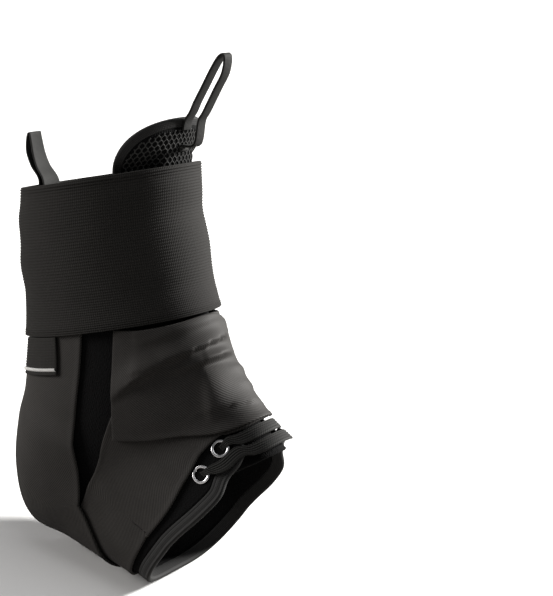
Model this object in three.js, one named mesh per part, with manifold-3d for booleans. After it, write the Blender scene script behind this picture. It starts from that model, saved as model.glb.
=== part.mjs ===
// Laced ankle brace for a right foot, in the shape it has when it is worn.
// Millimetres. +Z is up, the toes point to -Y, the outer side of the foot is -X.
// The origin is on the inside of the sole, below the ankle.
import * as THREE from 'three';
import { mergeVertices } from 'three/addons/utils/BufferGeometryUtils.js';
import Module from 'manifold-3d';

const wasm = await Module();
wasm.setup();

// Size of the hollow that the leg and foot fill
const hollowHeight = 242;   // top of the hollow at the front of the leg
const hollowReach = 122;    // from the origin forward to the end of the hollow
const ankleWidth = 75;      // across the ankle

// Walls and the space between one layer and the next
const bootWall = 2.2;
const tongueWall = 2;
const strapWall = 1.2;
const cuffWall = 1.6;
const tapeWall = 2.6;       // folded edge tape, thicker than the wall it closes
const layerGap = 0.65;
const tongueGap = 0.8;       // between the tongue and the shell over it

// Widths and lengths of the bands
const cuffHeight = 76;
const strapWidth = 47;
const tapeWidth = 7;
const tongueWidth = 70;
const tongueRise = 23;      // how far the tongue stands above the cuff
const tongueBulge = 4.4;    // how far it stands out where no shell lies over it
const tongueTape = 5;
const laceWidth = 6.4;
const laceWall = 1.1;
const rimStrip = 18;        // from the straps' lower edge to the rim, at the laces
const laceClear = 1.3;      // between the laces, and between a lace and the straps
const tabWidth = 26;
const tabLength = 19;
const pullWidth = 7;        // tongue loop
const pullWall = 1.1;
const pullReach = 36;
const heelPullWidth = 15;   // back loop
const heelPullWall = 1;
const heelPullPinch = 0.4;   // share of its width that the back loop loses at its fold
const heelPullReach = 21;
const loopSeat = 20;        // how far a pull loop is sewn down the piece below it

// Metal rings for the laces
const eyeletRadius = 4.5;
const eyeletBore = 3.1;
const eyeletBarrel = 3.5;
const eyeletFlange = 0.5;
const eyeletFit = 0.3;      // clearance between a ring and the wall round it

// A facet is at most about this long, and turns by at most about this many degrees.
const facetLength = 9;
const facetTurn = 17;

const degree = Math.PI / 180;

// Turns rows of numbers into objects with the columns' names.
function table(columns, rows) {
  return rows.map((row) => Object.fromEntries(columns.map((name, i) => [name, row[i]])));
}

// The hollow, as sections from the leg down to the foot. frontY and backY are shares
// of hollowReach, frontZ and backZ of hollowHeight, half of ankleWidth. middle is where
// the widest point lies from front to back, and square is how full the back corners are.
const sections = table(
  ['frontY', 'frontZ', 'backY', 'backZ', 'half', 'middle', 'square'],
  [
    [-0.098, 1.000, 0.585, 0.880, 0.545, 0.50, 2.0],
    [-0.093, 0.864, 0.505, 0.736, 0.505, 0.50, 2.0],
    [-0.165, 0.731, 0.467, 0.599, 0.500, 0.50, 2.0],
    [-0.270, 0.607, 0.402, 0.467, 0.480, 0.50, 2.0],
    [-0.365, 0.525, 0.369, 0.347, 0.487, 0.50, 2.2],
    [-0.436, 0.471, 0.352, 0.223, 0.500, 0.52, 2.3],
    [-0.516, 0.438, 0.344, 0.108, 0.480, 0.54, 2.3],
    [-0.598, 0.405, 0.262, 0.030, 0.440, 0.58, 2.3],
    [-0.680, 0.380, 0.041, 0.026, 0.427, 0.60, 2.6],
    [-0.770, 0.357, -0.205, 0.014, 0.440, 0.62, 2.8],
    [-0.885, 0.331, -0.467, 0.004, 0.467, 0.64, 3.0],
    [-1.000, 0.306, -0.730, 0.000, 0.507, 0.66, 3.0],
  ],
);

// Smooth value of a list at a place between its rows.
function between(values, place) {
  const last = values.length - 1;
  const at = THREE.MathUtils.clamp(place, 0, last);
  const i = Math.min(Math.floor(at), last - 1);
  const f = at - i;
  const b = values[i];
  const c = values[i + 1];
  const a = i > 0 ? values[i - 1] : 2 * b - c;
  const d = i + 2 <= last ? values[i + 2] : 2 * c - b;
  return 0.5 * (2 * b + (c - a) * f + (2 * a - 5 * b + 4 * c - d) * f * f
    + (3 * b - a - 3 * c + d) * f * f * f);
}

function readRow(rows, place) {
  const names = Object.keys(rows[0]);
  return Object.fromEntries(names.map((name) => [name, between(rows.map((row) => row[name]), place)]));
}

const sectionColumns = Object.fromEntries(
  Object.keys(sections[0]).map((name) => [name, sections.map((row) => row[name])]),
);

// A point of the hollow. section counts down the leg and along the foot. angle is 0 at
// the front, 90 on the outer side, 180 at the back or sole and 270 on the inner side.
function hollow(section, angle) {
  const at = (name) => between(sectionColumns[name], section);
  const front = new THREE.Vector2(at('frontY') * hollowReach, at('frontZ') * hollowHeight);
  const back = new THREE.Vector2(at('backY') * hollowReach, at('backZ') * hollowHeight);
  const centre = front.clone().lerp(back, at('middle'));
  const c = Math.cos(angle * degree);
  const s = Math.sin(angle * degree);
  const power = c > 0 ? 2 : at('square');
  const size = (Math.abs(c) ** power + Math.abs(s) ** power) ** (-1 / power);
  const end = c > 0 ? front : back;
  const side = centre.clone().lerp(end, Math.abs(c) * size);
  return new THREE.Vector3(-s * size * at('half') * ankleWidth, side.x, side.y);
}

const probe = 0.02;
function alongSection(section, angle) {
  return hollow(section + probe, angle).sub(hollow(section - probe, angle)).divideScalar(2 * probe);
}
function alongAngle(section, angle) {
  const step = probe * 50;
  return hollow(section, angle + step).sub(hollow(section, angle - step)).divideScalar(2 * step);
}
function outward(section, angle) {
  return alongAngle(section, angle).cross(alongSection(section, angle)).normalize();
}
function lifted(section, angle, height) {
  return hollow(section, angle).addScaledVector(outward(section, angle), height);
}

// Walks over the hollow from a place, in a direction, for a length in millimetres.
function walk(place, direction, length) {
  const steps = Math.max(1, Math.ceil(length / 3));
  let { section, angle } = place;
  const heading = direction.clone();
  for (let i = 0; i < steps; i += 1) {
    const u = alongSection(section, angle);
    const v = alongAngle(section, angle);
    const n = outward(section, angle);
    heading.addScaledVector(n, -heading.dot(n)).normalize();
    const uu = u.dot(u);
    const uv = u.dot(v);
    const vv = v.dot(v);
    const hu = heading.dot(u);
    const hv = heading.dot(v);
    const scale = length / steps / (uu * vv - uv * uv);
    section += (hu * vv - hv * uv) * scale;
    angle += (hv * uu - hu * uv) * scale;
  }
  return { section, angle };
}
function down(section, angle, length) {
  return walk({ section, angle }, alongSection(section, angle), length).section;
}
function up(section, angle, length) {
  return walk({ section, angle }, alongSection(section, angle).negate(), length).section;
}
function round(section, length) {
  return walk({ section, angle: 0 }, alongAngle(section, 0), length).angle;
}

// Shares from 0 to 1 that cut a path over the hollow into steps, shorter where it bends.
function spread(pathAt) {
  const samples = 300;
  const reached = [0];
  let last = pathAt(0);
  for (let i = 1; i <= samples; i += 1) {
    const here = pathAt(i / samples);
    const length = hollow(here.section, here.angle).distanceTo(hollow(last.section, last.angle));
    const turn = outward(here.section, here.angle).angleTo(outward(last.section, last.angle));
    reached.push(reached[i - 1] + Math.hypot(length / facetLength, turn / degree / facetTurn));
    last = here;
  }
  const steps = Math.ceil(reached[samples]);
  const shares = [];
  for (let k = 0, i = 0; k <= steps; k += 1) {
    const goal = (k / steps) * reached[samples];
    while (i < samples - 1 && reached[i + 1] < goal) i += 1;
    shares.push((i + (goal - reached[i]) / (reached[i + 1] - reached[i])) / samples);
  }
  return shares;
}
function evenly(steps) {
  return Array.from({ length: steps + 1 }, (_, i) => i / steps);
}

// Closed mesh from corners and triangles, turned so that its faces point out.
function closedMesh(corners, triangles) {
  let volume = 0;
  for (const [a, b, c] of triangles) {
    volume += corners[a].dot(corners[b].clone().cross(corners[c]));
  }
  const faces = volume < 0 ? triangles.map(([a, b, c]) => [a, c, b]) : triangles;
  const geometry = new THREE.BufferGeometry();
  geometry.setAttribute('position', new THREE.Float32BufferAttribute(corners.flatMap((p) => p.toArray()), 3));
  geometry.setIndex(faces.flat());
  return geometry;
}

// A wall over a grid. place(u, v) gives section, angle, inside and outside, for the shares
// listed in us and vs. A ring joins its last column to its first.
function wall(us, vs, place, ring = false) {
  const rows = us.length - 1;
  const columns = vs.length - 1;
  const across = ring ? columns : columns + 1;
  const corners = [];
  for (const face of ['outside', 'inside']) {
    for (let i = 0; i <= rows; i += 1) {
      for (let j = 0; j < across; j += 1) {
        const at = place(us[i], vs[j]);
        corners.push(lifted(at.section, at.angle, at[face]));
      }
    }
  }
  const inner = (rows + 1) * across;
  const corner = (i, j) => i * across + (j % across);
  const triangles = [];
  const quad = (a, b, c, d) => triangles.push([a, b, c], [a, c, d]);
  for (let i = 0; i < rows; i += 1) {
    for (let j = 0; j < columns; j += 1) {
      const ring4 = [corner(i, j), corner(i + 1, j), corner(i + 1, j + 1), corner(i, j + 1)];
      quad(...ring4);
      const [a, b, c, d] = ring4.map((k) => k + inner);
      triangles.push([a, c, b], [a, d, c]);
    }
  }
  for (let j = 0; j < columns; j += 1) {
    quad(corner(0, j), corner(0, j + 1), corner(0, j + 1) + inner, corner(0, j) + inner);
    quad(corner(rows, j + 1), corner(rows, j), corner(rows, j) + inner, corner(rows, j + 1) + inner);
  }
  for (let i = 0; i < rows && !ring; i += 1) {
    quad(corner(i + 1, 0), corner(i, 0), corner(i, 0) + inner, corner(i + 1, 0) + inner);
    quad(corner(i, columns), corner(i + 1, columns), corner(i + 1, columns) + inner, corner(i, columns) + inner);
  }
  return closedMesh(corners, triangles);
}

// A ribbon that follows a smooth path in the middle plane of the leg. Its sides curve
// round the leg: bow is the radius of that curve, on the side of the leg that it faces.
// pinch is the share of its width that it loses at the fold in its middle.
function ribbon(points, width, thickness, steps, bow, pinch = 0) {
  const path = new THREE.CatmullRomCurve3(points.map(([y, z]) => new THREE.Vector3(0, y, z)));
  const rim = [[-1, -1], [0, -1], [1, -1], [1, 1], [0, 1], [-1, 1]];
  const corners = [];
  for (let i = 0; i <= steps; i += 1) {
    const p = path.getPointAt(i / steps);
    const t = path.getTangentAt(i / steps);
    const n = new THREE.Vector3(0, -t.z, t.y).multiplyScalar(thickness / 2);
    const narrowed = 1 - pinch * Math.sin(Math.PI * i / steps) ** 2;
    for (const [side, face] of rim) {
      const x = side * narrowed * width / 2;
      const corner = p.clone().addScaledVector(n, face).setX(x);
      corner.y -= x * x / (2 * bow);
      corners.push(corner);
    }
  }
  const triangles = [[0, 1, 4], [0, 4, 5], [1, 2, 3], [1, 3, 4]];
  const last = steps * rim.length;
  triangles.push(...triangles.map(([a, b, c]) => [a + last, c + last, b + last]));
  for (let i = 0; i < last; i += rim.length) {
    for (let k = 0; k < rim.length; k += 1) {
      const m = (k + 1) % rim.length;
      const next = i + rim.length;
      triangles.push([i + k, next + k, next + m], [i + k, next + m, i + m]);
    }
  }
  return closedMesh(corners, triangles);
}

function toManifold(geometry) {
  const bare = mergeVertices(geometry);
  return new wasm.Manifold(new wasm.Mesh({
    numProp: 3,
    vertProperties: new Float32Array(bare.attributes.position.array),
    triVerts: new Uint32Array(bare.index.array),
  }));
}
function toGeometry(solid) {
  const mesh = solid.getMesh();
  const geometry = new THREE.BufferGeometry();
  geometry.setAttribute('position', new THREE.BufferAttribute(new Float32Array(mesh.vertProperties), 3));
  geometry.setIndex([...mesh.triVerts]);
  return geometry;
}

// Heights of the layers above the hollow
const tongueOutside = -tongueGap;
const tongueInside = tongueOutside - tongueWall;
const strapInside = bootWall + layerGap;
const strapStep = strapWall + layerGap;
const cuffInside = strapInside + strapStep;

// Cuff: a band of one height round the leg
const cuffTop = 1.15;
const cuffLow = (angle) => down(cuffTop, angle, cuffHeight);
function cuffGeometry() {
  return wall(evenly(7), evenly(34), (u, v) => {
    const angle = 360 * v;
    return {
      section: cuffTop + (cuffLow(angle) - cuffTop) * u,
      angle,
      inside: cuffInside,
      outside: cuffInside + cuffWall,
    };
  }, true);
}

// Straps: both follow one route, mirrored. width is a share of strapWidth. overLow and
// overTop say how far each edge of the second strap has climbed over the first.
const strapRoute = table(
  ['section', 'angle', 'width', 'overLow', 'overTop'],
  [
    [4.72, 68, 1.13, 1, 0],
    [4.83, 61, 1.12, 1, 0.5],
    [4.97, 52, 1.11, 1, 1],
    [5.17, 34, 1.13, 1, 1],
    [5.44, 12, 1.26, 1, 1],
    [5.62, -10, 1.24, 1, 1],
    [5.82, -31, 1.11, 1, 1],
    [6.42, -49, 1.03, 1, 1],
    [7.13, -61, 1.02, 1, 1],
    [7.80, -75, 0.98, 1, 1],
    [8.28, -93, 0.88, 1, 1],
    [8.62, -118, 0.84, 1, 1],
    [8.78, -145, 0.84, 1, 1],
    [8.66, -180, 0.84, 1, 1],
    [8.36, -211, 0.86, 1, 1],
    [7.92, -226, 0.88, 1, 1],
    [7.22, -239, 0.92, 1, 1],
    [6.60, -245.5, 0.96, 1, 1],
    [5.95, -246, 1.00, 1, 1],
    [5.30, -243.5, 1.00, 0.9, 0.9],
    [4.75, -243.5, 1.00, 0, 0],
    [4.10, -244.5, 1.00, 0, 0],
    [3.40, -246, 1.00, 0, 0],
    [2.60, -248, 1.00, 0, 0],
  ],
);

// A place off the middle of the route: step counts its rows, and a positive offset is
// towards the leg.
function besideRoute(step, offset) {
  const row = readRow(strapRoute, step);
  const nearby = 0.05;
  const from = readRow(strapRoute, Math.max(0, step - nearby));
  const to = readRow(strapRoute, Math.min(strapRoute.length - 1, step + nearby));
  const path = hollow(to.section, to.angle).sub(hollow(from.section, from.angle));
  const across = outward(row.section, row.angle).cross(path).multiplyScalar(Math.sign(offset));
  return offset === 0 ? row : walk(row, across, Math.abs(offset));
}
// A place on the inner side, below the lower edge of the straps and clear of it by a gap
function belowStrap(step, gap) {
  const { width } = readRow(strapRoute, step);
  return besideRoute(step, -(strapWidth * width / 2 + gap));
}
function mirrored({ section, angle }) {
  return { section, angle: -angle };
}

// Front rim of the boot on the outer side, from the lacing to the sole. Near the laces it
// keeps its distance from the straps: strip is a share of rimStrip.
const rim = [
  ...table(['step', 'strip'], [
    [5.30, 0.48],
    [6.62, 0.95],
    [7.55, 0.98],
  ]).map(({ step, strip }) => mirrored(belowStrap(step, rimStrip * strip))),
  ...table(['section', 'angle'], [
    [9.52, 54],
    [9.62, 68],
    [9.64, 86],
    [9.72, 108],
    [9.80, 140],
    [9.80, 180],
  ]),
];
// The whole rim runs from the outer side under the sole to the inner side.
function rimAt(v, inset) {
  const half = v <= 0.5 ? v * 2 : (1 - v) * 2;
  const steps = rim.length - 1;
  const here = readRow(rim, half * steps);
  const nearby = 0.05;
  const from = readRow(rim, Math.max(0, half * steps - nearby));
  const to = readRow(rim, Math.min(steps, half * steps + nearby));
  let place = here;
  if (inset > 0) {
    const path = hollow(to.section, to.angle).sub(hollow(from.section, from.angle));
    const inward = outward(here.section, here.angle).cross(path).negate();
    place = walk(here, inward, inset);
  }
  return v <= 0.5 ? place : { section: place.section, angle: 360 - place.angle };
}

const rimShares = spread((v) => rimAt(v, tapeWidth));

// Boot: the shell runs from the outer lacing edge round the back to the inner one.
const bootTop = 1.35;
const lacingAngle = 30;     // where the lacing edge starts at the top
const seam = 0.3;           // gap between the shell and its edge tape
function bootPlace(u, v) {
  const end = rimAt(v, tapeWidth + seam);
  const startAngle = lacingAngle + (360 - 2 * lacingAngle) * v;
  return {
    section: bootTop + (end.section - bootTop) * u,
    angle: startAngle + (end.angle - startAngle) * u,
    inside: 0,
    outside: bootWall,
  };
}

// The heel is left bare. Its opening is an oval over the back of the heel.
const heelOpening = { section: 6.55, reach: 1.15, angle: 180, spread: 60 };
function heelCut() {
  return wall(evenly(8), evenly(16), (u, v) => {
    const across = v * 2 - 1;
    const rise = Math.sqrt(Math.max(0, 1 - across * across * 0.96));
    return {
      section: heelOpening.section + heelOpening.reach * rise * (2 * u - 1),
      angle: heelOpening.angle + heelOpening.spread * across,
      inside: -bootWall * 2,
      outside: bootWall * 3,
    };
  });
}

// Eyelets: two on each side of the lacing, next to the strap
const eyelets = [7.79, 6.62].map((step) => mirrored(belowStrap(step, eyeletRadius + eyeletFit)));
function eyeletAxis(section, angle) {
  return {
    centre: lifted(section, angle, bootWall / 2),
    turn: new THREE.Quaternion().setFromUnitVectors(new THREE.Vector3(0, 1, 0), outward(section, angle)),
  };
}
function eyeletHole(section, angle) {
  const drill = new THREE.CylinderGeometry(
    eyeletBarrel + eyeletFit,
    eyeletBarrel + eyeletFit,
    bootWall * 3,
    14,
  );
  drill.deleteAttribute('normal');
  drill.deleteAttribute('uv');
  const { centre, turn } = eyeletAxis(section, angle);
  drill.applyQuaternion(turn);
  drill.translate(...centre.toArray());
  return drill;
}
function bootGeometry() {
  let boot = toManifold(wall(evenly(25), rimShares, bootPlace));
  boot = boot.subtract(toManifold(heelCut()));
  for (const { section, angle } of eyelets) {
    boot = boot.subtract(toManifold(eyeletHole(section, angle)));
    boot = boot.subtract(toManifold(eyeletHole(section, -angle)));
  }
  return toGeometry(boot);
}
function bindingGeometry() {
  const proud = (tapeWall - bootWall) / 2;
  return wall(rimShares, evenly(1), (u, v) => ({
    ...rimAt(u, tapeWidth * v),
    inside: -proud,
    outside: bootWall + proud,
  }));
}
function eyeletGeometry() {
  const low = -bootWall / 2;
  const seat = bootWall / 2 + eyeletFit;
  const profile = [
    [eyeletBore, low],
    [eyeletBarrel, low],
    [eyeletBarrel, seat],
    [eyeletRadius, seat],
    [eyeletRadius, seat + eyeletFlange],
    [eyeletBore, seat + eyeletFlange],
    [eyeletBore, low],
  ];
  return new THREE.LatheGeometry(profile.map(([r, y]) => new THREE.Vector2(r, y)), 14);
}

// Tongue: rounded at the top, under the lacing all the way down
const tongueLow = table(
  ['angle', 'section'],
  [
    [0, 9.30],
    [13, 9.28],
    [26, 9.22],
    [39, 9.12],
  ],
);
const tongueShoulder = cuffTop + 0.1;
const tongueApex = up(cuffTop, 0, tongueRise);
const tongueCorner = 2.8;   // power of the rounded top
// Outline of the top, drawn in by inset millimetres. turn is -1 to 1 from side to side.
function tongueHalf(section, inset) {
  return round(section, tongueWidth / 2 - inset);
}
function tongueTop(turn, inset) {
  const apex = inset > 0 ? down(tongueApex, 0, inset) : tongueApex;
  const rise = (1 - Math.abs(turn) ** tongueCorner) ** (1 / tongueCorner);
  return tongueShoulder - (tongueShoulder - apex) * rise;
}
// The tongue bulges out above the shell and, below its top, between its lacing edges.
function bulge(section, angle) {
  const top = 1 - THREE.MathUtils.smoothstep(section, cuffTop - 0.3, cuffTop + 0.05);
  const slot = 1 - THREE.MathUtils.smoothstep(Math.abs(angle), lacingAngle - 15, lacingAngle - 4);
  const high = 1 - THREE.MathUtils.smoothstep(section, 1.9, 3);
  return tongueBulge * Math.max(top, slot * high);
}
function tongueGeometry() {
  const inset = tongueTape + seam;
  return wall(evenly(16).map((u) => u ** 1.4), evenly(12), (u, v) => {
    const turn = Math.sin((v - 0.5) * Math.PI);
    const top = tongueTop(turn, inset);
    const endAngle = Math.abs(turn) * tongueHalf(9, inset);
    const end = between(tongueLow.map((row) => row.section), endAngle / tongueLow[1].angle);
    const section = top + (end - top) * u;
    const angle = turn * tongueHalf(section, inset);
    const rise = bulge(section, angle);
    return { section, angle, inside: tongueInside + rise, outside: tongueOutside + rise };
  });
}
function tongueBindingGeometry() {
  const legShare = 0.18;
  return wall(evenly(26), evenly(1), (u, v) => {
    const inset = tongueTape * v;
    const leg = u < legShare ? 1 - u / legShare : Math.max(0, (u - 1 + legShare) / legShare);
    const swing = THREE.MathUtils.clamp((u - legShare) / (1 - 2 * legShare), 0, 1);
    const turn = -Math.cos(swing * Math.PI);
    const section = tongueTop(turn, inset) + 0.9 * leg;
    const angle = turn * tongueHalf(section, inset);
    const rise = bulge(section, angle);
    return { section, angle, inside: tongueInside - layerGap + rise, outside: tongueOutside + rise };
  });
}

// Folds where the straps bend over the front of the ankle. Each runs from one place to
// another. height is a share of strapWall. The fold is steep on one side: soft and steep
// are its reach on both sides, as shares of strapWidth.
const folds = table(
  ['fromSection', 'fromAngle', 'toSection', 'toAngle', 'height', 'soft', 'steep'],
  [
    [4.51, 46, 4.20, -14, 2.8, 0.11, 0.05],
    [4.82, 34, 4.83, -10, 2.4, 0.09, 0.05],
    [5.07, 68, 4.48, 42, 2.0, 0.16, 0.04],
    [5.30, 18, 7.10, 28, 1.4, 0.18, 0.07],
    [3.85, 46, 3.74, -6, 0.9, 0.06, 0.05],
    [6.55, 36, 7.50, -16, 0.6, 0.12, 0.04],
  ],
);
function foldHeight({ section, angle }) {
  const point = hollow(section, angle);
  let height = 0;
  for (const fold of folds) {
    const from = hollow(fold.fromSection, fold.fromAngle);
    const to = hollow(fold.toSection, fold.toAngle);
    const line = new THREE.Line3(from, to);
    const share = line.closestPointToPointParameter(point, true);
    const crest = hollow(
      THREE.MathUtils.lerp(fold.fromSection, fold.toSection, share),
      THREE.MathUtils.lerp(fold.fromAngle, fold.toAngle, share),
    );
    const gap = point.clone().sub(crest);
    const side = to.sub(from).cross(gap).dot(outward(section, angle));
    const away = gap.length() / ((side > 0 ? fold.soft : fold.steep) * strapWidth);
    const fade = Math.sin(Math.PI * THREE.MathUtils.clamp(share * 0.9 + 0.05, 0, 1));
    height += fold.height * strapWall * Math.exp(-away * away) * fade;
  }
  return height;
}

function strapGeometry(side, climbs) {
  const steps = strapRoute.length - 1;
  const along = spread((u) => readRow(strapRoute, u * steps));
  return wall(along, evenly(8), (u, v) => {
    const row = readRow(strapRoute, u * steps);
    const place = besideRoute(u * steps, (v - 0.5) * strapWidth * row.width);
    const climb = THREE.MathUtils.clamp(row.overLow + (row.overTop - row.overLow) * v, 0, 1);
    const over = climbs ? climb : 0;
    const wrinkle = climbs ? foldHeight(place) * over : 0;
    const inside = strapInside + strapStep * over + wrinkle;
    return { section: place.section, angle: place.angle * side, inside, outside: inside + strapWall };
  });
}

// Tab: hangs from the lower edge of the cuff, over the end of the outer strap
const tabAngle = 119;
function tabGeometry() {
  return wall(evenly(3), evenly(4), (u, v) => {
    const start = cuffLow(tabAngle);
    const half = walk(
      { section: start, angle: tabAngle },
      alongAngle(start, tabAngle),
      tabWidth / 2,
    ).angle - tabAngle;
    const angle = tabAngle + half * (2 * v - 1);
    return {
      section: down(cuffLow(angle), angle, seam + tabLength * u),
      angle,
      inside: cuffInside,
      outside: cuffInside + strapWall,
    };
  });
}

// Laces: flat, from an eyelet on one side to its partner on the other. The upper one
// lies just below the straps, and the lower one beside it.
const upperLaceDrop = laceWidth / 2 + laceClear;
const lowerLaceDrop = upperLaceDrop + laceWidth + laceClear;
function laceRoute(eyelet, steps, drop) {
  const inner = steps.map((step) => belowStrap(step, drop));
  const outer = inner.map(mirrored);
  return [eyelet, ...outer, ...inner.reverse(), mirrored(eyelet)];
}
const laceRoutes = {
  lace_lower: laceRoute(eyelets[0], [7.0, 6.1, 5.2], lowerLaceDrop),
  lace_upper: laceRoute(eyelets[1], [6.0, 5.25], upperLaceDrop),
};
function laceGeometry(route) {
  const steps = route.length - 1;
  const inside = bootWall + 2 * eyeletFit + eyeletFlange + layerGap;
  return wall(evenly(14), evenly(1), (u, v) => {
    const row = readRow(route, u * steps);
    const half = (v - 0.5) * laceWidth;
    const turn = alongSection(row.section, row.angle).multiplyScalar(Math.sign(half));
    const place = walk(row, turn, Math.abs(half));
    return { ...place, inside, outside: inside + laceWall };
  });
}

// Pull loops: each is a ribbon bent over itself, sewn down at both ends. out and rise
// are shares of the loop's reach, from the top edge of the piece that carries it.
const tonguePull = table(
  ['out', 'rise'],
  [
    [0.33, -0.31],
    [0.34, 0.01],
    [0.39, 0.14],
    [0.51, 0.49],
    [0.58, 0.69],
    [0.59, 0.85],
    [0.56, 0.95],
    [0.49, 0.91],
    [0.41, 0.74],
    [0.31, 0.46],
    [0.23, 0.24],
    [0.19, 0.10],
  ],
);
const heelPull = table(
  ['out', 'rise'],
  [
    [0.15, 0.05],
    [0.46, 0.32],
    [0.68, 0.62],
    [0.74, 0.95],
    [0.70, 1.10],
    [0.63, 0.96],
    [0.48, 0.62],
    [0.30, 0.34],
    [0.02, 0.06],
  ],
);
function inPlane(section, angle, height) {
  const p = lifted(section, angle, height);
  return [p.y, p.z];
}
function tongueLoopGeometry() {
  const seat = tongueOutside + tongueBulge + layerGap + pullWall / 2;
  const edge = inPlane(tongueApex, 0, 0);
  const seats = [0.84, 0.7, 0.05, 0.3].map((share) => inPlane(down(tongueApex, 0, loopSeat * share), 0, seat));
  return ribbon([
    ...seats.slice(0, 2),
    ...tonguePull.map(({ out, rise }) => [edge[0] - out * pullReach, edge[1] + rise * pullReach]),
    ...seats.slice(2),
  ], pullWidth, pullWall, 30, -ankleWidth / 2);
}
function backLoopGeometry() {
  const outer = bootWall + layerGap + heelPullWall / 2;
  const inner = -layerGap - heelPullWall / 2;
  const edge = inPlane(up(bootTop, 180, loopSeat * 0.4), 180, 0);
  const seats = [loopSeat * 0.6, loopSeat * 0.1].map((length) => down(bootTop, 180, length));
  return ribbon([
    ...seats.map((section) => inPlane(section, 180, outer)),
    ...heelPull.map(({ out, rise }) => [edge[0] + out * heelPullReach, edge[1] + rise * heelPullReach]),
    ...seats.reverse().map((section) => inPlane(section, 180, inner)),
  ], heelPullWidth, heelPullWall, 24, ankleWidth / 2, heelPullPinch);
}

const finishes = {
  knit: { color: 0x17171a, roughness: 0.9, metalness: 0 },
  elastic: { color: 0x1c1b1b, roughness: 0.85, metalness: 0 },
  nylon: { color: 0x1b1a1c, roughness: 0.6, metalness: 0 },
  webbing: { color: 0x121214, roughness: 0.8, metalness: 0 },
  metal: { color: 0xc8c8cc, roughness: 0.3, metalness: 1 },
};

const brace = new THREE.Group();
function add(name, geometry, finish) {
  const mesh = new THREE.Mesh(geometry, new THREE.MeshStandardMaterial(finishes[finish]));
  mesh.name = name;
  brace.add(mesh);
  return mesh;
}

add('boot', bootGeometry(), 'knit');
add('boot_binding', bindingGeometry(), 'webbing');
add('tongue', tongueGeometry(), 'knit');
add('tongue_binding', tongueBindingGeometry(), 'webbing');
add('tongue_loop', tongueLoopGeometry(), 'webbing');
add('strap_inner', strapGeometry(-1, false), 'nylon');
add('strap_outer', strapGeometry(1, true), 'nylon');
add('cuff', cuffGeometry(), 'elastic');
add('back_loop', backLoopGeometry(), 'webbing');
add('back_tab', tabGeometry(), 'elastic');
for (const [name, route] of Object.entries(laceRoutes)) {
  add(name, laceGeometry(route), 'webbing');
}
for (const [sideName, side] of [['outer', 1], ['inner', -1]]) {
  eyelets.forEach(({ section, angle }, i) => {
    const ringlet = add(`eyelet_${sideName}_${i ? 'high' : 'low'}`, eyeletGeometry(), 'metal');
    const { centre, turn } = eyeletAxis(section, angle * side);
    ringlet.position.copy(centre);
    ringlet.quaternion.copy(turn);
  });
}

export default brace;
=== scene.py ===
# %% [markdown]
# # Laced ankle brace
# The solids of the brace are loaded as a fixed frame. They hold the sizes and the places
# of the pieces, and every soft piece below is a finer one laid over the same form.
# Lengths are in metres, +Z is up and the toes point to -Y.

# %% Load the frame
import math

import bpy
import numpy as np
from mathutils import Matrix, Vector


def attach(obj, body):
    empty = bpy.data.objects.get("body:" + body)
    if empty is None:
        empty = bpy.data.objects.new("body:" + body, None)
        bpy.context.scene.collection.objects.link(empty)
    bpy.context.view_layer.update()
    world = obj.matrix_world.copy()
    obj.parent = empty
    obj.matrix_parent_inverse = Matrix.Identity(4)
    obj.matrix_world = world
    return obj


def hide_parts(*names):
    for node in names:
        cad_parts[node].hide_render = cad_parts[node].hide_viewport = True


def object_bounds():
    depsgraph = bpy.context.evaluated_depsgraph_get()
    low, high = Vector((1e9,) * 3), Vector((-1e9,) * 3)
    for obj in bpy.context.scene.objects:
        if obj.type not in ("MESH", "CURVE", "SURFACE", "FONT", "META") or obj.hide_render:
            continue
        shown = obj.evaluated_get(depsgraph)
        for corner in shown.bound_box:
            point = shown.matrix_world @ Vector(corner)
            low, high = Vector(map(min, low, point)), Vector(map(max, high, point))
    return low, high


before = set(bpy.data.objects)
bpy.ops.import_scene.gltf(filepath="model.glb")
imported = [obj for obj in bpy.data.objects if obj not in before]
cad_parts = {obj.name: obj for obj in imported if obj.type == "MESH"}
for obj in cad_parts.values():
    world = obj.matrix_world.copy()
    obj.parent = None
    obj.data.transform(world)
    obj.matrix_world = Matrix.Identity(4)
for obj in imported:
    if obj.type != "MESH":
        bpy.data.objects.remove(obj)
cad_box = [list(corner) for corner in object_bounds()]
MM = 0.001
print("solids:", ", ".join(sorted(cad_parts)))

# %% [markdown]
# ## The leg inside the brace
# A brace has no stiff shape of its own: it takes the form of the leg and the foot. So the
# first thing to describe is that form. A dozen sections run down the leg and along the
# foot, each with a front point, a back point and a width. A smooth curve through the
# rows gives any section between them, and every cloth piece is laid over the result.

# %% The form under the cloth
HOLLOW_HEIGHT = 242 * MM
HOLLOW_REACH = 122 * MM
ANKLE_WIDTH = 75 * MM
FORM_COLUMNS = ("front_y", "front_z", "back_y", "back_z", "half", "middle", "square")
FORM = dict(zip(FORM_COLUMNS, np.array([
    [-0.098, 1.000, 0.585, 0.880, 0.545, 0.50, 2.0],
    [-0.093, 0.864, 0.505, 0.736, 0.505, 0.50, 2.0],
    [-0.165, 0.731, 0.467, 0.599, 0.500, 0.50, 2.0],
    [-0.270, 0.607, 0.402, 0.467, 0.480, 0.50, 2.0],
    [-0.365, 0.525, 0.369, 0.347, 0.487, 0.50, 2.2],
    [-0.436, 0.471, 0.352, 0.223, 0.500, 0.52, 2.3],
    [-0.516, 0.438, 0.344, 0.108, 0.480, 0.54, 2.3],
    [-0.598, 0.405, 0.262, 0.030, 0.440, 0.58, 2.3],
    [-0.680, 0.380, 0.041, 0.026, 0.427, 0.60, 2.6],
    [-0.770, 0.357, -0.205, 0.014, 0.440, 0.62, 2.8],
    [-0.885, 0.331, -0.467, 0.004, 0.467, 0.64, 3.0],
    [-1.000, 0.306, -0.730, 0.000, 0.507, 0.66, 3.0],
]).T))


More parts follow.
